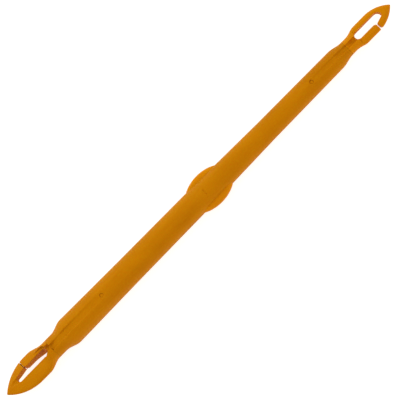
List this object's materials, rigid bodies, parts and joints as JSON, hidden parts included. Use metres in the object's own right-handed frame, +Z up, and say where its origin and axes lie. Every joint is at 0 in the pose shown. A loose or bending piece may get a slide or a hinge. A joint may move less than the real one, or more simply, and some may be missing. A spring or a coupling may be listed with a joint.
{
  "type": "tourniquet stick",
  "caption": "Tapered plastic stick with an oval finger plate and a pointed, split-sided eye on a swivel stem at each end, for threading and twisting tape.",
  "frame": {"origin": "on the flat underside of the rod, below the middle of the finger plate", "axes": "+X along the rod from the large eye to the small eye, +Y across the finger plate, +Z up out of the crown"},
  "size_m": [0.1998, 0.0136, 0.0096],
  "materials": {
    "body_plastic": "satin amber-orange moulded plastic",
    "eye_plastic": "satin amber-orange moulded plastic"
  },
  "bodies": {
    "rod": {"shaft": "body_plastic", "grip_plate": "body_plastic", "large_eye_pin": "body_plastic", "small_eye_pin": "body_plastic"},
    "large_eye": {"large_eye": "eye_plastic"},
    "small_eye": {"small_eye": "eye_plastic"},
    "large_gate": {"large_gate": "eye_plastic"},
    "small_gate": {"small_gate": "eye_plastic"}
  },
  "joints": [
    {"name": "large_swivel", "type": "hinge", "parent": "rod", "child": "large_eye", "pos_m": [-0.0815, 0, 0.0042], "axis": [1, 0, 0], "continuous": true},
    {"name": "small_swivel", "type": "hinge", "parent": "rod", "child": "small_eye", "pos_m": [0.0719, 0, 0.0042], "axis": [1, 0, 0], "continuous": true},
    {"name": "large_gate_bend", "type": "hinge", "parent": "large_eye", "child": "large_gate", "pos_m": [-0.0861, 0.00335, 0.00337], "axis": [0, 0.2419, 0.9703], "range_deg": [-3, 6], "stiffness_Nm_per_rad": 1.5},
    {"name": "small_gate_bend", "type": "hinge", "parent": "small_eye", "child": "small_gate", "pos_m": [0.0788, -0.00255, 0.0042], "axis": [0, 0, 1], "range_deg": [-4, 14], "stiffness_Nm_per_rad": 0.4}
  ]
}
